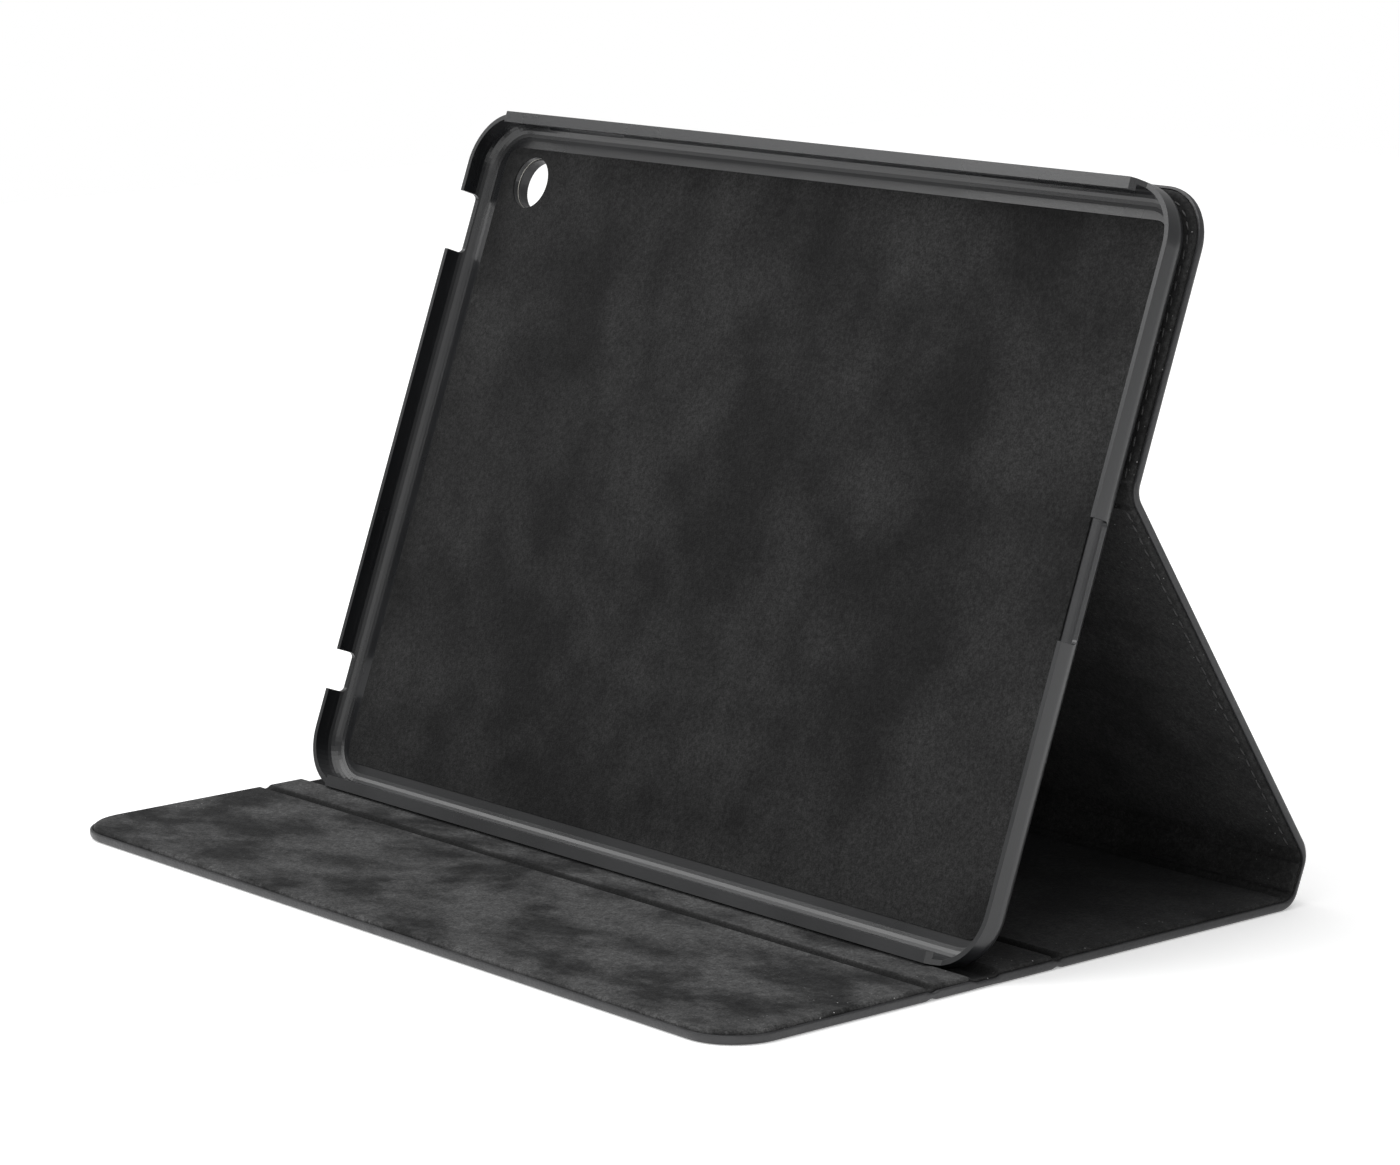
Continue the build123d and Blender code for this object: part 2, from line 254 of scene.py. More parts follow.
def suede(name, low, high, patch_scale, stretch=(1.0, 1.0, 1.0), lint=0.0):
    """Brushed microfibre: patches where the nap lies another way, fine fibres and some lint.

    Where a piece carries the groove attribute, the suede is darkened by that share: painted shade in the
    floors of the grooves.
    """
    material, tree, shader = node_material(name)
    where = object_coordinates(tree, stretch)
    patches = noise(tree, where, patch_scale, detail=6.0, roughness=0.58)
    streaks = noise(tree, where, patch_scale * 4.2, detail=5.0, roughness=0.6)
    fibres = noise(tree, object_coordinates(tree), 2600.0, detail=2.0)
    lie = ramp(tree, patches, [(0.40, 0.0), (0.57, 1.0)])
    brushed = ramp(tree, streaks, [(0.3, 0.0), (0.7, 1.0)])
    lay = mix(tree, "MIX", lie, brushed, 0.28)
    tone = ramp(tree, lay, [(0.0, low), (1.0, high)])
    tufts = noise(tree, object_coordinates(tree), 900.0, detail=4.0, roughness=0.7)
    fibre_tone = ramp(tree, fibres, [(0.34, 0.5), (0.70, 1.0)])
    tuft_tone = ramp(tree, tufts, [(0.36, 0.45), (0.68, 1.0)])
    colour = mix(tree, "MULTIPLY", mix(tree, "MULTIPLY", tone, fibre_tone), tuft_tone)
    groove_shade = add(tree, "ShaderNodeAttribute", attribute_type="GEOMETRY", attribute_name="groove_shade")
    # Painted shade: a darker tone of the same fibres, mixed in where the groove attribute is set.
    groove_shade_tone = ramp(tree, fibres, [(0.34, 0.007), (0.70, 0.016)])
    colour = mix(tree, "MIX", colour, groove_shade_tone, groove_shade.outputs["Fac"])
    if lint > 0:
        colour = mix(tree, "ADD", colour, lint_by_the_sides(tree, lint))
    tree.links.new(colour, shader.inputs["Base Color"])
    shader.inputs["Roughness"].default_value = 0.95
    shader.inputs["Specular IOR Level"].default_value = 0.15
    shader.inputs["Sheen Weight"].default_value = 0.05
    shader.inputs["Sheen Roughness"].default_value = 0.45
    shader.inputs["Sheen Tint"].default_value = (0.75, 0.76, 0.8, 1.0)
    nap = bump(tree, shader, fibres, 0.00022, 0.6)
    bump(tree, shader, streaks, 0.0006, 0.25, below=nap)
    return material


def shell_plastic():
    """Black moulded polycarbonate with a fine spark texture that is worn glossier in places."""
    material, tree, shader = node_material("shell_plastic")
    where = object_coordinates(tree)
    spark = noise(tree, where, 1900.0, detail=2.0)
    wear = noise(tree, where, 28.0, detail=5.0)
    tint = ramp(tree, wear, [(0.3, (0.006, 0.0064, 0.0072)), (0.7, (0.010, 0.0105, 0.0118))])
    tree.links.new(tint, shader.inputs["Base Color"])
    gloss = ramp(tree, wear, [(0.35, 0.25), (0.7, 0.36)])
    tree.links.new(gloss, shader.inputs["Roughness"])
    shader.inputs["Specular IOR Level"].default_value = 0.5
    shader.inputs["Coat Weight"].default_value = 0.2
    shader.inputs["Coat Roughness"].default_value = 0.16
    bump(tree, shader, spark, 0.00004, 0.4)
    return material


def thread_material():
    """Dark polyester thread with its twist."""
    material, tree, shader = node_material("thread")
    where = object_coordinates(tree)
    twist = add(tree, "ShaderNodeTexWave", wave_type="BANDS", bands_direction="DIAGONAL", Scale=900.0)
    tree.links.new(where, twist.inputs["Vector"])
    tint = ramp(tree, twist.outputs["Fac"], [(0.2, 0.024), (0.8, 0.05)])
    tree.links.new(tint, shader.inputs["Base Color"])
    shader.inputs["Roughness"].default_value = 0.62
    shader.inputs["Sheen Weight"].default_value = 0.1
    bump(tree, shader, twist.outputs["Fac"], 0.0001, 0.6)
    return material


def greyboard():
    """Dense grey paper board with flecks."""
    material, tree, shader = node_material("greyboard")
    where = object_coordinates(tree, (1.0, 3.0, 3.0))
    fleck = noise(tree, where, 700.0, detail=4.0)
    tint = ramp(tree, fleck, [(0.3, (0.25, 0.24, 0.22)), (0.7, (0.42, 0.40, 0.37))])
    tree.links.new(tint, shader.inputs["Base Color"])
    shader.inputs["Roughness"].default_value = 0.9
    bump(tree, shader, fleck, 0.0001, 0.5)
    return material


def adhesive_film():
    """Pressure-sensitive film, faintly cloudy."""
    material, tree, shader = node_material("adhesive")
    cloud = noise(tree, object_coordinates(tree), 60.0, detail=4.0)
    tint = ramp(tree, cloud, [(0.3, (0.5, 0.49, 0.45)), (0.7, (0.68, 0.66, 0.6))])
    tree.links.new(tint, shader.inputs["Base Color"])
    shader.inputs["Roughness"].default_value = 0.45
    bump(tree, shader, cloud, 0.0001, 0.3)
    return material


def magnet_plating():
    """Nickel plating with fine turning marks."""
    material, tree, shader = node_material("magnet_steel")
    marks = noise(tree, object_coordinates(tree, (1.0, 12.0, 1.0)), 900.0, detail=3.0)
    tint = ramp(tree, marks, [(0.3, (0.52, 0.51, 0.49)), (0.7, (0.66, 0.65, 0.62))])
    tree.links.new(tint, shader.inputs["Base Color"])
    shader.inputs["Metallic"].default_value = 1.0
    shader.inputs["Roughness"].default_value = 0.3
    bump(tree, shader, marks, 0.00003, 0.4)
    return material


LEATHER = cover_leather()
SUEDE = suede("suede", 0.014, 0.128, 42.0, (1.0, 1.5, 1.5), lint=0.8)
# A darker copy of the suede: its darkness is painted shade for the inside of the tent; its fainter patches
# and lint are its own.
SHADED_TENT_SUEDE = suede("shaded_tent_suede", 0.020, 0.052, 30.0, (1.0, 1.5, 1.5), lint=0.5)
PAD_SUEDE = suede("pad_suede", 0.014, 0.042, 20.0)
PLASTIC = shell_plastic()
THREAD = thread_material()
HIDDEN = {"greyboard": greyboard(), "adhesive": adhesive_film(), "magnet_steel": magnet_plating()}


# ======================= frames of the panels =======================

def panel_frame(name):
    """The panel's length and the matrix of its own frame: +Y along its outer face, +Z inwards."""
    low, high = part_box(name + "_skin")
    slope = radians(SLOPES.get(name, 0.0))
    c = cos(slope)
    s = sin(slope)
    depth = (SPINE_PANEL if name == "spine" else PANEL) - CAD_RIM_DROP
    if s > 0:
        length = (high.z - low.z - depth * abs(c)) / s
    else:
        length = high.y - low.y
    y = high.y - length * max(c, 0.0)
    z = low.z - depth * min(c, 0.0)
    return length, Matrix.Translation((0, y, z)) @ Matrix.Rotation(slope, 4, "X")


HALF_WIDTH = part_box("base_skin")[1].x
PANELS = ("flap", "front_strip", "rear_strip", "base", "spine", "lower_back", "upper_back")
LENGTH = {}
PLACE = {}
for panel_name in PANELS:
    LENGTH[panel_name], PLACE[panel_name] = panel_frame(panel_name)


# ======================= mesh helpers =======================

def block(bm, low, high):
    """A box between two corners. Its vertices are returned."""
    made = bmesh.ops.create_cube(bm, size=1.0)["verts"]
    size = Vector(high) - Vector(low)
    bmesh.ops.scale(bm, vec=size, verts=made)
    bmesh.ops.translate(bm, vec=Vector(low) + size / 2, verts=made)
    return made


def bevel_edges(bm, edges, width, segments):
    """The edges rounded."""
    bmesh.ops.bevel(
        bm, geom=edges, offset=width, segments=segments, profile=0.5,
        affect="EDGES", material=-1, clamp_overlap=True,
    )


def upright_edges(bm, y):
    """The corner edges that stand at one end."""
    return [
        e for e in bm.edges
        if abs(e.verts[0].co.y - y) < 1e-6
        and abs(e.verts[1].co.y - y) < 1e-6
        and abs(e.verts[0].co.x - e.verts[1].co.x) < 1e-6
    ]


def level_edges(bm, z):
    """The edges that lie at one height and border an upright face."""
    return [
        e for e in bm.edges
        if all(abs(v.co.z - z) < 1e-6 for v in e.verts)
        and any(abs(f.normal.z) < 0.1 for f in e.link_faces)
    ]


def face_at(bm, z):
    """The widest face at one height."""
    flat = [f for f in bm.faces if all(abs(v.co.z - z) < 1e-6 for v in f.verts)]
    return max(flat, key=lambda f: f.calc_area())


def step_in(bm, face, thickness, depth=0.0):
    """The face inset by thickness and moved inwards along its normal by depth."""
    bmesh.ops.inset_region(bm, faces=[face], thickness=thickness, depth=depth, use_even_offset=True)
    return face


def cut_end(bm, y, keep_below):
    """Everything past one end cut off, and the cut closed."""
    normal = Vector((0, 1 if keep_below else -1, 0))
    geometry = bm.verts[:] + bm.edges[:] + bm.faces[:]
    cut = bmesh.ops.bisect_plane(bm, geom=geometry, plane_co=(0, y, 0), plane_no=normal, clear_outer=True)
    edges = [g for g in cut["geom_cut"] if isinstance(g, bmesh.types.BMEdge)]
    bmesh.ops.edgeloop_fill(bm, edges=edges)


def finish_piece(name, bm, material, place, smooth=35.0):
    """The piece as an object at the origin, with its place in its mesh."""
    bmesh.ops.recalc_face_normals(bm, faces=bm.faces[:])
    mesh = bpy.data.meshes.new(name)
    bm.to_mesh(mesh)
    bm.free()
    mesh.transform(place)
    mesh.shade_smooth()
    mesh.set_sharp_from_angle(angle=radians(smooth))
    mesh.materials.append(material)
    piece = bpy.data.objects.new(name, mesh)
    scene.collection.objects.link(piece)
    weighted = piece.modifiers.new("weighted_normals", "WEIGHTED_NORMAL")
    weighted.keep_sharp = True
    return piece


# ======================= panels =======================

OVERRUN = 6.0 * MM
FADE = 4.5 * MM
CREASE_DIP = 0.8 * MM
# The strength of the painted shade in the groove floors, and the width of its soft edge at the groove's
# shoulders.
GROOVE_SHADE_STRENGTH = 0.9
GROOVE_SHADE_EDGE = 0.4 * MM
GROOVE_DIP = 1.7 * MM
GROOVE_LEATHER_DIP = 0.35 * MM
SPINE_BOTTOM_RADIUS = 5.5 * MM
SPINE_TOP_RADIUS = 6.9 * MM
STAND_CREASE_RADIUS = 4.4 * MM
SIDE_CUTS = (1.2, 2.5, 4.0, 6.0)


def panel_block(name, inset, low, high, corner):
    """A panel's layer as a block that runs past its creases, with its free corners rounded."""
    length = LENGTH[name]
    start = inset if name == "flap" else -OVERRUN
    end = length - inset if name == "upper_back" else length + OVERRUN
    x = HALF_WIDTH - inset
    bm = bmesh.new()
    block(bm, (-x, start, low), (x, end, high))
    free = {"flap": start, "upper_back": end}.get(name)
    if free is not None:
        bevel_edges(bm, upright_edges(bm, free), corner - inset, CORNER_SEGMENTS)
    return bm


def cut_creases(bm, name):
    """The block cut off where its creases begin."""
    if name != "flap":
        cut_end(bm, 0.0, keep_below=False)
    if name != "upper_back":
        cut_end(bm, LENGTH[name], keep_below=True)


def stitch_channel(bm, face, from_edge):
    """A shallow channel that the stitches lie in, pressed round a face."""
    step_in(bm, face, from_edge - CHANNEL_WIDTH / 2)
    step_in(bm, face, CHANNEL_WIDTH * CHANNEL_SIDE, -CHANNEL_DEPTH)
    step_in(bm, face, CHANNEL_WIDTH * CHANNEL_BOTTOM)
    step_in(bm, face, CHANNEL_WIDTH * CHANNEL_SIDE, CHANNEL_DEPTH)


def leather_section(bm, top, stitched=False):
    """The outer edges rounded, and a pocket for board and lining inside the turned-up rim."""
    bevel_edges(bm, level_edges(bm, 0.0), SKIN_ROUND, 4)
    bevel_edges(bm, level_edges(bm, top), RIM_ROUND, 2)
    if stitched:
        stitch_channel(bm, face_at(bm, 0.0), THREAD_FROM_EDGE - SKIN_ROUND)
    step_in(bm, face_at(bm, top), RIM_WALL - RIM_ROUND)
    step_in(bm, face_at(bm, top), POCKET_SLOPE, -(top - SKIN))


def camera_cutter(depth_low, depth_high, radius):
    """A round cutter for the camera hole, in the upper back's frame."""
    bm = bmesh.new()
    middle = CAMERA_AT + Vector((0, -STAND_CREASE_HEIGHT, (depth_low + depth_high) / 2))
    bmesh.ops.create_cone(
        bm, cap_ends=True, segments=48, radius1=radius, radius2=radius,
        depth=depth_high - depth_low, matrix=Matrix.Translation(middle),
    )
    return bm


def cut_camera_hole(piece, low, high):
    """The camera hole cut through a piece of the upper back."""
    boolean_cut(piece, camera_cutter(low, high, CAMERA_RADIUS), PLACE["upper_back"])


def boolean_cut(piece, cutter_bm, place):
    """A closed cutter taken out of the piece, with the result in its mesh."""
    mesh = bpy.data.meshes.new("cutter")
    cutter_bm.to_mesh(mesh)
    cutter_bm.free()
    mesh.transform(place)
    cutter = bpy.data.objects.new("cutter", mesh)
    scene.collection.objects.link(cutter)
    modifier = piece.modifiers.new("cut", "BOOLEAN")
    modifier.operation = "DIFFERENCE"
    modifier.solver = "EXACT"
    modifier.object = cutter
    while piece.modifiers[0] != modifier:
        piece.modifiers.move(piece.modifiers.find("cut"), 0)
    depsgraph = bpy.context.evaluated_depsgraph_get()
    others = [m for m in piece.modifiers if m != modifier]
    for other in others:
        other.show_viewport = False
    depsgraph.update()
    piece_mesh = bpy.data.meshes.new_from_object(piece.evaluated_get(depsgraph))
    old = piece.data
    piece.modifiers.remove(modifier)
    piece.data = piece_mesh
    bpy.data.meshes.remove(old)
    for other in others:
        other.show_viewport = True
    bpy.data.objects.remove(cutter)
    return piece


def panel_skin(name):
    """The leather of one panel, rounded over its edges and turned up round the lining."""
    top = (SPINE_PANEL if name == "spine" else PANEL) - RIM_DROP
    bm = panel_block(name, 0.0, 0.0, top, FREE_CORNER)
    leather_section(bm, top, name in STITCHED)
    cut_creases(bm, name)
    piece = finish_piece(name + "_leather", bm, LEATHER, PLACE[name])
    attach(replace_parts(piece, name + "_skin"), name)
    return piece


def suede_of(name):
    """The front panels' suede is worn and smudged; the rest is cleaner, and darker as painted shade for the
    inside of the tent.
    """
    return SUEDE if name in ("flap", "front_groove", "front_strip") else SHADED_TENT_SUEDE


def panel_lining(name):
    """The suede of one panel, over the turned-in edge of the leather."""
    top = SPINE_PANEL if name == "spine" else PANEL
    inset = LINING_INSET
    bm = panel_block(name, inset, top - LINING_DEPTH, top, FREE_CORNER)
    bevel_edges(bm, level_edges(bm, top), LINING_ROUND, 4)
    face = face_at(bm, top)
    if name in STITCHED:
        least = CHANNEL_WIDTH / 2 + CHANNEL_MARGIN
        stitch_channel(bm, face, max(THREAD_FROM_EDGE - inset - LINING_ROUND, least))
    else:
        step_in(bm, face, TURN_IN - inset)
        step_in(bm, face, TURN_IN_SLOPE, -TURN_IN_STEP)
    cut_creases(bm, name)
    piece = finish_piece(name + "_suede", bm, suede_of(name), PLACE[name])
    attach(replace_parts(piece, name + "_lining"), name)
    return piece


STITCHED = ("lower_back", "upper_back")
skins = {name: panel_skin(name) for name in PANELS}
linings = {name: panel_lining(name) for name in PANELS}
for piece in (skins["upper_back"], linings["upper_back"]):
    cut_camera_hole(piece, -5 * MM, 8 * MM)


# ======================= creases =======================

def soft_step(t):
    """A smooth step from 0 to 1."""
    t = min(max(t, 0.0), 1.0)
    return t * t * (3 - 2 * t)


def across(bm, length, cuts=14):
    """A long section cut off at both ends of a crease, and cut across so that it can bend."""
    cut_end(bm, 0.0, keep_below=False)
    cut_end(bm, length, keep_below=True)
    for k in range(1, cuts):
        geometry = bm.verts[:] + bm.edges[:] + bm.faces[:]
        bmesh.ops.bisect_plane(bm, geom=geometry, plane_co=(0, length * k / cuts, 0), plane_no=(0, 1, 0))
    return bm


def lengthways(bm, distances):
    """A section cut along its length near both sides, so that its ends can be shaped."""
    for distance in distances:
        for side in (-1, 1):
            geometry = bm.verts[:] + bm.edges[:] + bm.faces[:]
            x = side * (HALF_WIDTH - distance * MM)
            bmesh.ops.bisect_plane(bm, geom=geometry, plane_co=(x, 0, 0), plane_no=(1, 0, 0))


def flat_section(length, inset, low, high):
    """A layer's section as a block that runs past both ends of its crease."""
    bm = bmesh.new()
    x = HALF_WIDTH - inset
    block(bm, (-x, -OVERRUN, low), (x, length + OVERRUN, high))
    return bm


def bend(bm, length, radius, turn):
    """The strip bent to its arc: a positive turn goes inwards, and a turn of 0 leaves it flat."""
    if not turn:
        return
    way = 1 if turn > 0 else -1
    for v in bm.verts:
        angle = abs(turn) * v.co.y / length
        reach = radius - way * v.co.z
        v.co.y = reach * sin(angle)
        v.co.z = way * (radius - reach * cos(angle))


def crease(name, place, length, heights, radius=0.0, turn=0.0, fading=0.0):
    """Leather and suede of one crease, which bend between two panels.

    heights(t) gives the leather's outer and inner face, the lining's two faces and the rim's
    top, at t from 0 at the first panel to 1 at the second. A hollow fades by a share at its ends.
    """
    top = PANEL - RIM_DROP
    leather = flat_section(length, 0.0, 0.0, top)
    leather_section(leather, top)
    for v in across(leather, length).verts:
        outer, inner, _, _, rim = heights(v.co.y / length)
        if v.co.z <= SKIN:
            v.co.z = outer + (inner - outer) * v.co.z / SKIN
        else:
            v.co.z = inner + (rim - inner) * (v.co.z - SKIN) / (top - SKIN)
    lining = flat_section(length, LINING_INSET, PANEL - LINING_DEPTH, PANEL)
    bevel_edges(lining, level_edges(lining, PANEL), LINING_ROUND, 4)
    across(lining, length)
    lengthways(lining, SIDE_CUTS)
    groove_shade = lining.verts.layers.float.new("groove_shade")
    for v in lining.verts:
        t = v.co.y / length
        _, _, low, high, _ = heights(t)
        share = (v.co.z - PANEL + LINING_DEPTH) / LINING_DEPTH
        if fading:
            depth = 1 - fading * (1 - soft_step((HALF_WIDTH - abs(v.co.x)) / FADE))
            low = PANEL - LINING_DEPTH + (low - PANEL + LINING_DEPTH) * depth
            high = PANEL + (high - PANEL) * depth
            # The groove attribute: painted shade in the groove floor, soft at its shoulders and fading
            # towards the sides.
            v[groove_shade] = GROOVE_SHADE_STRENGTH * depth * soft_step(min(t, 1 - t) * length / GROOVE_SHADE_EDGE)
        v.co.z = low + (high - low) * share
    flat_end = bmesh.new()
    flat_end.verts.new((0, length, 0))
    bend(flat_end, length, radius, turn)
    flat_end.free()
    # Where the crease turns inwards, its inner side is shorter.
    for bm, kind, material in ((leather, "leather", LEATHER), (lining, "suede", suede_of(name))):
        bend(bm, length, radius, turn)
        node = name + ("_skin" if kind == "leather" else "_lining")
        piece = finish_piece(f"{name}_{kind}", bm, material, place, smooth=60.0)
        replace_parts(piece, node)
        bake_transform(piece)


def groove_heights(t):
    """A pressed groove in the lining, and a faint one in the leather."""
    d = soft_step(min(t, 1 - t) * 2.7)
    outer = GROOVE_LEATHER_DIP * sin(pi * t) ** 2
    inner = SKIN + outer
    high = PANEL - GROOVE_DIP * d
    return outer, inner, max(high - LINING_DEPTH, inner), high, PANEL - RIM_DROP - outer


def seat_heights(length, shoulder=2.0 * MM):
    """The wide flat-bottomed groove that the shell stands in."""
    def heights(t):
        d = soft_step(min(t, 1 - t) * length / shoulder)
        outer = SEAT_SKIN[0] * d
        inner = SKIN + (SEAT_SKIN[1] - SKIN) * d
        high = PANEL + (SEAT_LINING_TOP - PANEL) * d
        low = max(high - LINING_DEPTH, inner)
        return outer, inner, low, high, PANEL - RIM_DROP - 0.5 * MM * d
    return heights


def tapered_heights(first, second):
    """A crease between panels of two thicknesses."""
    def heights(t):
        top = first + (second - first) * soft_step(t)
        high = top - CREASE_DIP * soft_step(min(t, 1 - t) * 11)
        low = max(high - LINING_DEPTH, SKIN)
        return 0.0, SKIN, low, high, top - RIM_DROP
    return heights


def flat_crease(name, before, after, fading, heights=groove_heights):
    """A crease that lies flat between two panels."""
    end = PLACE[before] @ Vector((0, LENGTH[before], 0))
    length = (PLACE[after].translation - end).length
    shape = heights(length) if heights is seat_heights else heights
    crease(name, Matrix.Translation(end), length, shape, fading=fading)


def bent_crease(name, before, after, radius, heights):
    """A crease that turns from one panel's slope to the next one's."""
    turn = radians(SLOPES.get(after, 0.0) - SLOPES.get(before, 0.0))
    start = PLACE[before] @ Matrix.Translation((0, LENGTH[before], 0))
    crease(name, start, radius * abs(turn), heights, radius, turn)


flat_crease("front_groove", "flap", "front_strip", 0.75)
flat_crease("seat_groove", "front_strip", "rear_strip", 0.5, seat_heights)
flat_crease("rear_groove", "rear_strip", "base", 0.6)
bent_crease("spine_bottom_crease", "base", "spine", SPINE_BOTTOM_RADIUS, tapered_heights(PANEL, SPINE_PANEL))
bent_crease("spine_top_crease", "spine", "lower_back", SPINE_TOP_RADIUS, tapered_heights(SPINE_PANEL, PANEL))
bent_crease("stand_crease", "lower_back", "upper_back", STAND_CREASE_RADIUS, tapered_heights(PANEL, PANEL))


# ======================= camera hole =======================

EDGING = 0.3 * MM
EDGING_FIT = 0.01 * MM
EDGING_BELOW = 0.15 * MM
EDGING_ABOVE = 0.1 * MM
EDGING_ROUND = 0.12 * MM


def hole_edging():
    """Leather turned in round the camera hole, over the edges of board and lining."""
    middle = CAMERA_AT + Vector((0, -STAND_CREASE_HEIGHT, 0))
    outer = CAMERA_RADIUS - EDGING_FIT
    inner = outer - EDGING
    low = EDGING_BELOW
    high = PANEL - EDGING_ABOVE
    soft = EDGING_ROUND
    outline = [
        (outer, low), (inner + soft, low), (inner, low + soft),
        (inner, high - soft), (inner + soft, high), (outer, high),
    ]
    bm = bmesh.new()
    verts = [bm.verts.new(middle + Vector((r, 0, z))) for r, z in outline]
    edges = [bm.edges.new((a, b)) for a, b in zip(verts, verts[1:] + verts[:1])]
    bmesh.ops.spin(
        bm, geom=verts + edges, cent=middle, axis=(0, 0, 1), angle=2 * pi, steps=64, use_merge=True,
    )
    bmesh.ops.remove_doubles(bm, verts=bm.verts[:], dist=1e-7)
    piece = finish_piece("camera_hole_edging", bm, LEATHER, PLACE["upper_back"])
    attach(piece, "upper_back")


hole_edging()


# ======================= stitching =======================

def seam_points(name):
    """Places and directions along a panel's free edges, evenly spaced."""
    length = LENGTH[name]
    x = HALF_WIDTH - THREAD_FROM_EDGE
    end = length - THREAD_FROM_EDGE if name == "upper_back" else length
    r = FREE_CORNER - THREAD_FROM_EDGE if name == "upper_back" else 0.0
    runs = [
        (Vector((x, 0)), Vector((x, end - r))),
        (Vector((-x, end - r)), Vector((-x, 0))),
    ]
    if r:
        runs.append((Vector((x - r, end)), Vector((-x + r, end))))
    for first, second in runs:
        along = second - first
        count = round(along.length / STITCH_PITCH)
        for k in range(count):
            yield first + along * (k + 0.5) / count, along.normalized()
    for middle_x, start in ((x - r, 0.0), (-x + r, pi / 2)) if r else ():
        count = round(r * pi / 2 / STITCH_PITCH)
        for k in range(count):
            angle = start + pi / 2 * (k + 0.5) / count
            out = Vector((cos(angle), sin(angle)))
            yield Vector((middle_x, end - r)) + r * out, Vector((-sin(angle), cos(angle)))


def stitches(name):
    """The stitches of one panel, on its leather and on its lining."""
    shuffle = random.Random(len(name))
    bm = bmesh.new()
    for height, side in ((CHANNEL_DEPTH * 0.6, -1), (PANEL - CHANNEL_DEPTH * 0.6, 1)):
        for spot, along in seam_points(name):
            turn = Vector((1, 0)).angle_signed(along) * -1
            slant = side * STITCH_SLANT + shuffle.uniform(-0.03, 0.03)
            place = Matrix.Translation((spot.x, spot.y, height)) @ Matrix.Rotation(turn + slant, 4, "Z")
            shape = Matrix.Diagonal((STITCH_LENGTH / 2, STITCH_WIDTH / 2, STITCH_WIDTH * 0.42, 1))
            bmesh.ops.create_uvsphere(bm, u_segments=8, v_segments=5, radius=1.0, matrix=place @ shape)
    piece = finish_piece(name + "_stitches", bm, THREAD, PLACE[name], smooth=180.0)
    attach(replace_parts(piece, name + "_thread"), name)


for name in STITCHED:
    stitches(name)


# ======================= the shell =======================

TABLET_PLACE = PLACE["upper_back"] @ Matrix.Translation((0, -STAND_CREASE_HEIGHT, GLASS_DEPTH))
FLOOR = -(TABLET.z + PAD)
BACK = FLOOR - SHELL_WALL
LIP_TOP = LIP_CLEARANCE + LIP


def rounded_block(half, low, high, corner, back_round=0.0):
    """A block about the tablet's middle with rounded corners and, if asked, a rounded back."""
    bm = bmesh.new()
    block(bm, (-half.x, -half.y, low), (half.x, half.y, high))
    bevel_edges(bm, upright_edges(bm, half.y) + upright_edges(bm, -half.y), corner, CORNER_SEGMENTS)
    if back_round:
        bevel_edges(bm, level_edges(bm, low), back_round, 7)
    return bm


def end_cutter(side):
    """What is cut from the front of the shell past the ends of its lips."""
    bm = bmesh.new()
    outer_x = TABLET.x / 2 + BAY_CLEARANCE + SHELL_WALL
    x_lip = side * (outer_x - LIP_END_INSET)
    x_low = x_lip + side * LIP_RAMP
    x_out = side * (outer_x + 2 * MM)
    corners = [
        (x_lip, LIP_TOP + MM), (x_lip, LIP_TOP), (x_low, -SHORT_WALL_DROP),
        (x_out, -SHORT_WALL_DROP), (x_out, LIP_TOP + MM),
    ]
    verts = [bm.verts.new((x, -TABLET.y, z)) for x, z in corners]
    face = bm.faces.new(verts)
    moved = bmesh.ops.extrude_face_region(bm, geom=[face])["geom"]
    far = [g for g in moved if isinstance(g, bmesh.types.BMVert)]
    bmesh.ops.translate(bm, vec=(0, 2 * TABLET.y, 0), verts=far)
    bmesh.ops.recalc_face_normals(bm, faces=bm.faces[:])
    return bm


def window_cutter(x, y, along_x, along_y, low, high, corner=1.2 * MM, axis="x"):
    """A cutter with rounded corners for an opening through a wall of the shell."""
    bm = bmesh.new()
    block(bm, (x - along_x / 2, y - along_y / 2, low), (x + along_x / 2, y + along_y / 2, high))
    across = 0 if axis == "x" else 1
    edges = [e for e in bm.edges if abs(e.verts[0].co[across] - e.verts[1].co[across]) > 1e-6]
    bevel_edges(bm, edges, corner, 4)
    return bm


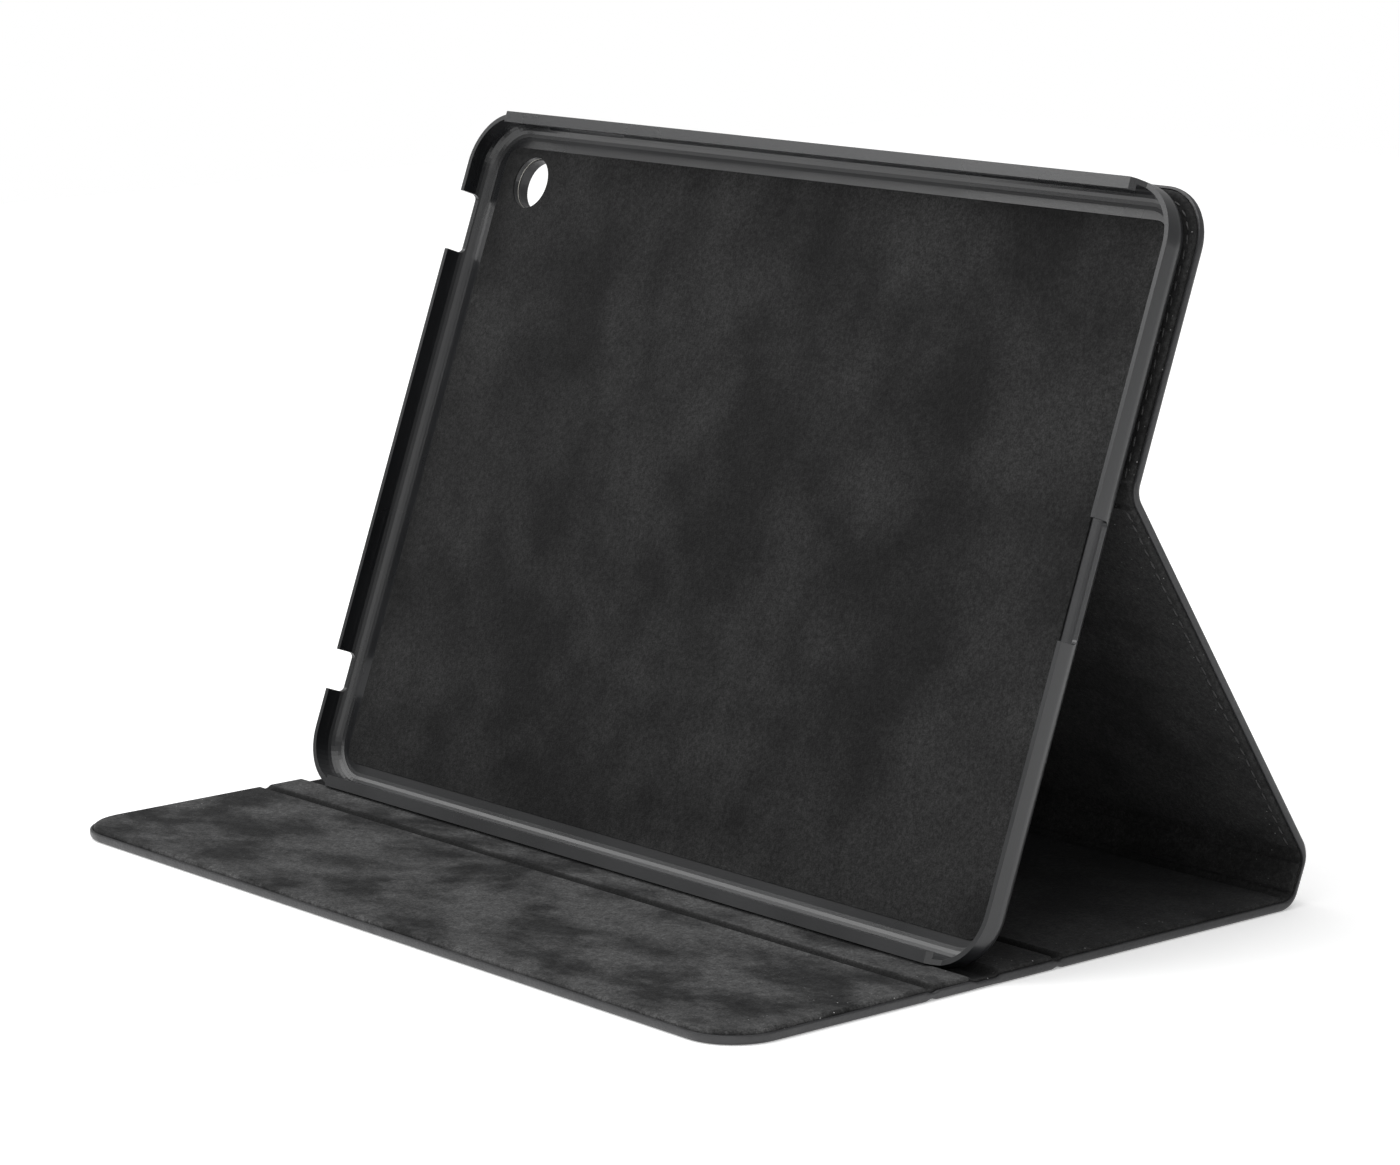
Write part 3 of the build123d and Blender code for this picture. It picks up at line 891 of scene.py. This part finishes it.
def shell():
    """The moulded tray: floor, walls, retaining lips on the long sides and openings."""
    half = Vector((TABLET.x / 2, TABLET.y / 2))
    bay = half + Vector((BAY_CLEARANCE, BAY_CLEARANCE))
    outer = bay + Vector((SHELL_WALL, SHELL_WALL))
    mouth = bay - Vector((LIP_REACH, LIP_REACH))
    corner = TABLET_CORNER + BAY_CLEARANCE
    bm = rounded_block(outer, BACK, LIP_TOP, corner + SHELL_WALL, SHELL_ROUND)
    piece = finish_piece("shell", bm, PLASTIC, TABLET_PLACE, smooth=30.0)
    cutters = [
        rounded_block(bay, FLOOR, LIP_CLEARANCE, corner, SHELL_ROUND - SHELL_WALL),
        rounded_block(mouth, -MM, LIP_TOP + MM, corner - LIP_REACH),
        end_cutter(-1),
        end_cutter(1),
    ]
    wall_x = bay.x + SHELL_WALL / 2
    wall_y = bay.y + SHELL_WALL / 2
    notch = FLOOR + NOTCH_FROM_FLOOR
    through = 4.8 * MM
    open_top = LIP_TOP + 2 * MM
    cutters += [
        window_cutter(wall_x, 0, through, PORT_WIDTH, notch, open_top),
        window_cutter(-wall_x, SIDE_BUTTON_AT, through, SIDE_BUTTON_WIDTH, notch, open_top),
        window_cutter(-wall_x, JACK_AT, through, JACK_WIDTH, notch, open_top),
        window_cutter(VOLUME_AT, wall_y, VOLUME_WIDTH, through, *VOLUME_HEIGHTS, axis="y"),
    ]
    for cutter in cutters:
        boolean_cut(piece, cutter, TABLET_PLACE)
    cut_camera_hole(piece, 0.5 * MM, 7 * MM)
    softened = piece.modifiers.new("softened_edges", "BEVEL")
    softened.width = 0.3 * MM
    softened.segments = 3
    softened.limit_method = "ANGLE"
    softened.angle_limit = radians(35)
    softened.harden_normals = False
    piece.modifiers.move(piece.modifiers.find("softened_edges"), 0)
    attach(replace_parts(piece, "shell_tray"), "upper_back")
    return piece


def shell_pad():
    """The sheet of microfibre that is glued to the shell's floor, its edge pressed down."""
    border = Vector((1, 1)) * (BAY_CLEARANCE + SHELL_WALL - PAD_BORDER)
    half = Vector((TABLET.x / 2, TABLET.y / 2)) + border
    bm = rounded_block(half, FLOOR, FLOOR + PAD, PAD_CORNER)
    bevel_edges(bm, level_edges(bm, FLOOR + PAD), PAD_ROUND, 2)
    piece = finish_piece("shell_pad_suede", bm, PAD_SUEDE, TABLET_PLACE)
    cut_camera_hole(piece, 0.5 * MM, 8 * MM)
    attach(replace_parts(piece, "shell_pad"), "upper_back")


shell()
shell_pad()

# The hidden pieces keep their CAD shape and get their own finish.
slot_of = {s["node"]: s["material_slot"] for s in frame["record"]["subparts"]}
for node_name, node in frame["nodes"].items():
    if slot_of[node_name] in HIDDEN and not node.hide_render:
        node.data.materials.clear()
        node.data.materials.append(HIDDEN[slot_of[node_name]])


# ======================= floor, light and camera =======================

def stage_material():
    """A plain pale floor."""
    material, tree, shader = node_material("floor")
    shader.inputs["Base Color"].default_value = (0.93, 0.93, 0.93, 1.0)
    shader.inputs["Roughness"].default_value = 0.9
    shader.inputs["Emission Color"].default_value = (1.0, 1.0, 1.0, 1.0)
    shader.inputs["Emission Strength"].default_value = 0.3
    return material


def floor():
    """The surface that the case stands on."""
    bm = bmesh.new()
    bmesh.ops.create_grid(bm, x_segments=1, y_segments=1, size=1.3)
    mesh = bpy.data.meshes.new("floor")
    bm.to_mesh(mesh)
    bm.free()
    mesh.materials.append(stage_material())
    plane = bpy.data.objects.new("floor", mesh)
    scene.collection.objects.link(plane)
    plane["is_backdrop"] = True


def area_light(name, spot, target, size, power):
    """A square soft box that faces a point."""
    light = bpy.data.lights.new(name, "AREA")
    light.size = size
    light.energy = power
    lamp = bpy.data.objects.new(name, light)
    lamp.location = spot
    lamp.rotation_euler = (Vector(target) - Vector(spot)).to_track_quat("-Z", "Y").to_euler()
    scene.collection.objects.link(lamp)


def soft_world(seen, light):
    """An even white backdrop, which lights the case less than it shows."""
    world = bpy.data.worlds.new("studio")
    world.use_nodes = True
    tree = world.node_tree
    backdrop = tree.nodes["Background"]
    backdrop.inputs["Color"].default_value = (1.0, 1.0, 1.0, 1.0)
    path = add(tree, "ShaderNodeLightPath")
    level = add(tree, "ShaderNodeMapRange")
    level.inputs["To Min"].default_value = light
    level.inputs["To Max"].default_value = seen
    tree.links.new(path.outputs["Is Camera Ray"], level.inputs["Value"])
    tree.links.new(level.outputs["Result"], backdrop.inputs["Strength"])
    scene.world = world


def camera(position, azimuth, elevation, roll, lens):
    """The camera, which looks along +Y at azimuth 0, turned by its roll."""
    a = radians(azimuth)
    e = radians(elevation)
    r = radians(roll)
    ahead = Vector((-sin(a) * cos(e), cos(a) * cos(e), -sin(e)))
    right = Vector((cos(a), sin(a), 0))
    down = ahead.cross(right)
    turned_right = right * cos(r) - down * sin(r)
    turned_down = right * sin(r) + down * cos(r)
    data = bpy.data.cameras.new("camera")
    data.lens = lens
    data.sensor_width = 36.0
    data.clip_end = 50.0
    eye = bpy.data.objects.new("camera", data)
    turn = Matrix((turned_right, -turned_down, -ahead)).transposed().to_4x4()
    eye.matrix_world = Matrix.Translation(position) @ turn
    scene.collection.objects.link(eye)
    scene.camera = eye


# ---- the studio ----
floor()
soft_world(seen=1.0, light=0.42)
area_light("key", (-1.3, -1.2, 1.9), (0, 0, 0.05), 2.2, 44.0)
area_light("top", (0.3, -0.3, 2.4), (0, 0, 0.05), 2.4, 30.0)
area_light("front", (0.9, -2.0, 0.7), (0, 0, 0.08), 1.2, 5.0)
area_light("edge", (1.5, -1.3, 0.35), (0.1, 0, 0.09), 0.35, 2.2)
camera((0.81126, -0.66447, 0.27254), azimuth=50.21, elevation=11.076, roll=-0.669, lens=120.34)
scene.view_settings.view_transform = "Standard"

boxes = {"cad": cad_box, "visual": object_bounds()}
{key: [list(corner) for corner in value] for key, value in boxes.items()}
